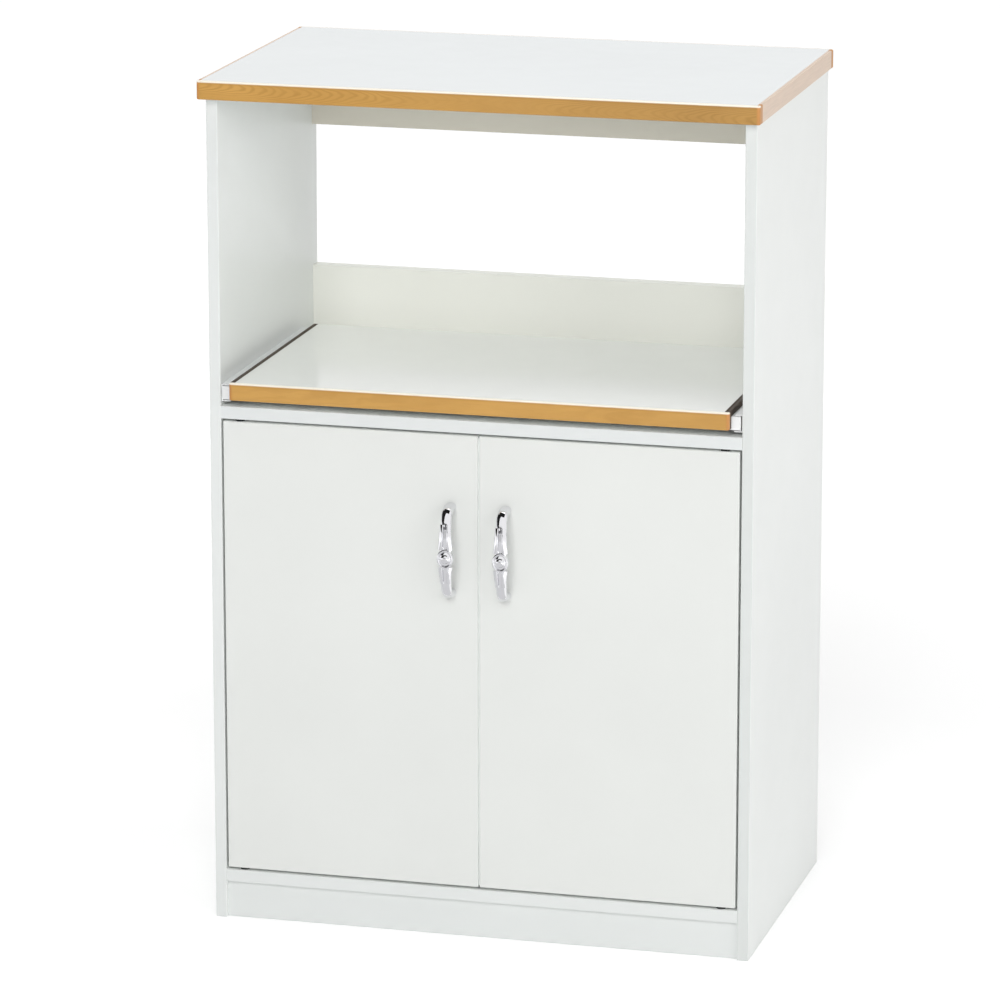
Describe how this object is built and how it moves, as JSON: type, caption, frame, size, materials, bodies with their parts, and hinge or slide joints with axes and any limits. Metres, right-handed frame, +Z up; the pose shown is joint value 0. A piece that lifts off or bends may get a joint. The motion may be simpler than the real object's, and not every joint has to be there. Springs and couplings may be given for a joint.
{
  "type": "appliance housing cabinet",
  "caption": "Tall white kitchen cabinet with an open-backed appliance niche, an oak-edged pull-out tray on roller slides and a pivot-hinged door cupboard below an oak-edged worktop.",
  "frame": {"origin": "on the floor, midway across the worktop and midway from the handles' fronts to the back", "axes": "+Z up, +X to the viewer's right, the doors and the tray face -Y"},
  "size_m": [0.632, 0.403, 0.965],
  "materials": {
    "board_facing": "white melamine facing, low sheen",
    "door_facing": "warm white facing, low sheen",
    "worktop_laminate": "white laminate, soft gloss",
    "top_oak_edging": "oak edging, clear lacquer",
    "tray_oak_edging": "oak edging, clear lacquer",
    "pale_edging": "pale bleached edging",
    "stained_edging": "dark stained edging",
    "blackened_steel": "blackened",
    "chrome": "polished plating",
    "dowel_beech": "bare beech",
    "slide_enamel": "white enamel",
    "roller_nylon": "natural nylon",
    "pivot_nylon": "dark nylon",
    "catch_plastic": "white moulded plastic",
    "magnet_ferrite": "bare ferrite",
    "zinc_steel": "bright zinc"
  },
  "bodies": {
    "carcase": {"back_panel_nails": "zinc_steel", "bottom_shelf": "board_facing", "catch_body": "catch_plastic", "catch_magnets": "magnet_ferrite", "catch_screws": "zinc_steel", "cupboard_back_panel": "board_facing", "fixed_shelf": "board_facing", "inner_shelf": "board_facing", "left_channel_screws": "zinc_steel", "left_front_axle": "zinc_steel", "left_pivot_bushes": "pivot_nylon", "left_side_panel": "board_facing", "left_slide_channel": "slide_enamel", "lower_back_rail": "board_facing", "plinth": "board_facing", "plinth_dowels": "dowel_beech", "rail_dowels": "dowel_beech", "right_channel_screws": "zinc_steel", "right_front_axle": "zinc_steel", "right_pivot_bushes": "pivot_nylon", "right_side_panel": "board_facing", "right_slide_channel": "slide_enamel", "shelf_dowels": "dowel_beech", "shelf_pins": "zinc_steel", "top_back_edging": "top_oak_edging", "top_board": "worktop_laminate", "top_dowels": "dowel_beech", "top_front_edging": "top_oak_edging", "top_left_edging": "pale_edging", "top_right_edging": "pale_edging", "upper_back_rail": "board_facing"},
    "tray": {"tray_board": "worktop_laminate", "tray_front_edging": "tray_oak_edging", "tray_back_edging": "board_facing", "tray_left_edging": "stained_edging", "tray_right_edging": "stained_edging", "left_slide_runner": "slide_enamel", "left_runner_screws": "zinc_steel", "left_rear_axle": "zinc_steel", "right_slide_runner": "slide_enamel", "right_runner_screws": "zinc_steel", "right_rear_axle": "zinc_steel"},
    "left_door": {"left_door_panel": "door_facing", "left_handle": "chrome", "left_handle_screws": "zinc_steel", "left_door_pivot_pins": "blackened_steel", "left_strike_plate": "zinc_steel", "left_strike_screw": "zinc_steel"},
    "left_front_roller": {"left_front_roller": "roller_nylon"},
    "left_rear_roller": {"left_rear_roller": "roller_nylon"},
    "right_door": {"right_door_panel": "door_facing", "right_handle": "chrome", "right_handle_screws": "zinc_steel", "right_door_pivot_pins": "blackened_steel", "right_strike_plate": "zinc_steel", "right_strike_screw": "zinc_steel"},
    "right_front_roller": {"right_front_roller": "roller_nylon"},
    "right_rear_roller": {"right_rear_roller": "roller_nylon"}
  },
  "joints": [
    {"name": "tray_slide", "type": "slide", "parent": "carcase", "child": "tray", "axis": [0, -1, 0], "range_m": [0, 0.23]},
    {"name": "left_door_hinge", "type": "hinge", "parent": "carcase", "child": "left_door", "pos_m": [-0.277, -0.1655, 0.32], "axis": [0, 0, -1], "range_deg": [0, 115]},
    {"name": "right_door_hinge", "type": "hinge", "parent": "carcase", "child": "right_door", "pos_m": [0.277, -0.1655, 0.32], "axis": [0, 0, 1], "range_deg": [0, 115]},
    {"name": "left_front_roller_spin", "type": "hinge", "parent": "carcase", "child": "left_front_roller", "pos_m": [-0.2912, -0.1575, 0.6117], "axis": [1, 0, 0], "range_deg": [0, 2028]},
    {"name": "left_rear_roller_spin", "type": "hinge", "parent": "tray", "child": "left_rear_roller", "pos_m": [-0.2903, 0.1255, 0.6117], "axis": [1, 0, 0], "range_deg": [0, 1608]},
    {"name": "right_front_roller_spin", "type": "hinge", "parent": "carcase", "child": "right_front_roller", "pos_m": [0.2912, -0.1575, 0.6117], "axis": [1, 0, 0], "range_deg": [0, 2028]},
    {"name": "right_rear_roller_spin", "type": "hinge", "parent": "tray", "child": "right_rear_roller", "pos_m": [0.2903, 0.1255, 0.6117], "axis": [1, 0, 0], "range_deg": [0, 1608]}
  ],
  "couplings": [
    {"joint": "left_front_roller_spin", "follows": "tray_slide", "rad_per_m": 153.85},
    {"joint": "left_rear_roller_spin", "follows": "tray_slide", "rad_per_m": 121.95},
    {"joint": "right_front_roller_spin", "follows": "tray_slide", "rad_per_m": 153.85},
    {"joint": "right_rear_roller_spin", "follows": "tray_slide", "rad_per_m": 121.95}
  ]
}
